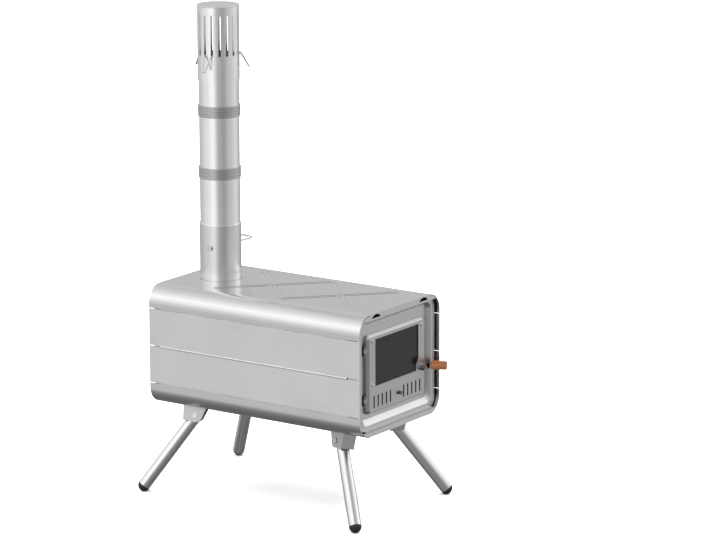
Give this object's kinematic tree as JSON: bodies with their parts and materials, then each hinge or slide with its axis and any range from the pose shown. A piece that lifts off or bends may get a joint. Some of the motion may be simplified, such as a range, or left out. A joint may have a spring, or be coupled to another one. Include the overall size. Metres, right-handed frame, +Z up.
{
  "type": "folding tent wood stove",
  "caption": "Folding sheet-steel tent stove on four folding legs: glazed door with air slider and latch, flat cooktop, flue with damper and spark arrestor.",
  "frame": {"origin": "on the ground, under the middle of the overall length and width", "axes": "+Z up, -Y out through the door, +X to the right of someone facing the door's back, which is the latch side"},
  "size_m": [0.2486, 0.3976, 0.6979],
  "materials": {
    "steel": "satin, folded and pressed sheet",
    "dull_steel": "satin, small parts",
    "bright_steel": "bright screws, wire and pins",
    "grate_steel": "heat-darkened sheet",
    "glass": "dark fire glass",
    "wood": "oiled, orange brown",
    "rubber": "matt black"
  },
  "bodies": {
    "base": {"bottom_shell": "steel", "left_lower_rod": "dull_steel", "right_lower_rod": "dull_steel", "lower_plate_stops": "dull_steel", "fire_grate": "grate_steel", "bracket_rivets": "bright_steel", "front_left_bracket": "steel", "front_right_bracket": "steel", "rear_left_bracket": "steel", "rear_right_bracket": "steel", "front_left_pivot": "bright_steel", "front_right_pivot": "bright_steel", "rear_left_pivot": "bright_steel", "rear_right_pivot": "bright_steel"},
    "left_lower": {"left_lower_panel": "steel", "left_middle_rod": "dull_steel"},
    "left_upper": {"left_upper_panel": "steel"},
    "right_lower": {"right_lower_panel": "steel", "right_middle_rod": "dull_steel"},
    "right_upper": {"right_upper_panel": "steel"},
    "top": {"top_shell": "steel", "left_upper_rod": "dull_steel", "right_upper_rod": "dull_steel", "upper_plate_stops": "dull_steel", "flue_collar": "dull_steel"},
    "front_end": {"front_plate": "steel", "door_hinge_brackets": "dull_steel", "door_hinge_pins": "bright_steel"},
    "rear_end": {"rear_plate": "steel"},
    "door": {"door_pan": "steel", "door_glass": "glass", "glass_retainer": "dull_steel", "glass_screws": "bright_steel", "slider_rails": "dull_steel"},
    "latch": {"latch_tongue": "dull_steel", "latch_lever": "dull_steel", "latch_nut": "bright_steel", "latch_grip": "wood", "grip_pin": "bright_steel"},
    "air_control": {"air_slider": "dull_steel", "slider_knob": "dull_steel"},
    "pipe": {"base_pipe": "steel"},
    "damper": {"damper_disc": "dull_steel", "damper_spindle": "bright_steel", "damper_nut": "bright_steel"},
    "flue": {"flue_pipe": "steel", "lower_flue_band": "dull_steel", "upper_flue_band": "dull_steel"},
    "arrestor": {"spark_arrestor": "steel", "arrestor_cap": "steel", "guy_loops": "bright_steel"},
    "front_left_leg_body": {"front_left_leg": "steel", "front_left_foot": "rubber"},
    "front_right_leg_body": {"front_right_leg": "steel", "front_right_foot": "rubber"},
    "rear_left_leg_body": {"rear_left_leg": "steel", "rear_left_foot": "rubber"},
    "rear_right_leg_body": {"rear_right_leg": "steel", "rear_right_foot": "rubber"}
  },
  "joints": [
    {"name": "body_fold", "type": "hinge", "parent": "base", "child": "left_lower", "pos_m": [-0.0983, 0.0057, 0.1594], "axis": [0, 1, 0], "range_deg": [0, 90]},
    {"name": "left_middle_fold", "type": "hinge", "parent": "left_lower", "child": "left_upper", "pos_m": [-0.1013, 0.0057, 0.21419], "axis": [0, 1, 0], "range_deg": [-180, 0]},
    {"name": "top_fold", "type": "hinge", "parent": "left_upper", "child": "top", "pos_m": [-0.0983, 0.0057, 0.26899], "axis": [0, 1, 0], "range_deg": [0, 90]},
    {"name": "right_lower_fold", "type": "hinge", "parent": "base", "child": "right_lower", "pos_m": [0.0983, 0.0057, 0.1594], "axis": [0, 1, 0], "range_deg": [-90, 0]},
    {"name": "right_middle_fold", "type": "hinge", "parent": "right_lower", "child": "right_upper", "pos_m": [0.1013, 0.0057, 0.21419], "axis": [0, 1, 0], "range_deg": [0, 180]},
    {"name": "front_end_out", "type": "slide", "parent": "base", "child": "front_end", "axis": [0, -1, 0], "range_m": [0, 0.216]},
    {"name": "rear_end_out", "type": "slide", "parent": "base", "child": "rear_end", "axis": [0, 1, 0], "range_m": [0, 0.216]},
    {"name": "door_swing", "type": "hinge", "parent": "front_end", "child": "door", "pos_m": [-0.0765, -0.1683, 0.21299], "axis": [0, 0, -1], "range_deg": [0, 110]},
    {"name": "latch_turn", "type": "hinge", "parent": "door", "child": "latch", "pos_m": [0.062, -0.1743, 0.19839], "axis": [0, 1, 0], "range_deg": [0, 90]},
    {"name": "air_slide", "type": "slide", "parent": "door", "child": "air_control", "axis": [-1, 0, 0], "range_m": [0, 0.00507]},
    {"name": "chimney_lift", "type": "slide", "parent": "top", "child": "pipe", "axis": [0, 0, 1], "range_m": [0, 0.03]},
    {"name": "damper_turn", "type": "hinge", "parent": "pipe", "child": "damper", "pos_m": [0, 0.1337, 0.3494], "axis": [0.9925, 0.1219, 0], "range_deg": [0, 90]},
    {"name": "flue_lift", "type": "slide", "parent": "pipe", "child": "flue", "axis": [0, 0, 1], "range_m": [0, 0.04]},
    {"name": "arrestor_lift", "type": "slide", "parent": "flue", "child": "arrestor", "axis": [0, 0, 1], "range_m": [0, 0.04]},
    {"name": "front_left_leg_fold", "type": "hinge", "parent": "base", "child": "front_left_leg_body", "pos_m": [-0.064, -0.1208, 0.11059], "axis": [0.8901, -0.3963, -0.225], "range_deg": [0, 125]},
    {"name": "front_right_leg_fold", "type": "hinge", "parent": "base", "child": "front_right_leg_body", "pos_m": [0.064, -0.1208, 0.11059], "axis": [0.8901, 0.3963, 0.225], "range_deg": [0, 125]},
    {"name": "rear_left_leg_fold", "type": "hinge", "parent": "base", "child": "rear_left_leg_body", "pos_m": [-0.064, 0.1322, 0.11059], "axis": [-0.8901, -0.3963, 0.225], "range_deg": [0, 125]},
    {"name": "rear_right_leg_fold", "type": "hinge", "parent": "base", "child": "rear_right_leg_body", "pos_m": [0.064, 0.1322, 0.11059], "axis": [-0.8901, 0.3963, -0.225], "range_deg": [0, 125]}
  ],
  "couplings": [
    {"joint": "left_middle_fold", "follows": "body_fold", "ratio": -2},
    {"joint": "top_fold", "follows": "body_fold", "ratio": 1},
    {"joint": "right_lower_fold", "follows": "body_fold", "ratio": -1},
    {"joint": "right_middle_fold", "follows": "body_fold", "ratio": 2},
    {"joint": "front_end_out", "follows": "body_fold", "m_per_rad": 0.1375},
    {"joint": "rear_end_out", "follows": "body_fold", "m_per_rad": 0.1375}
  ]
}
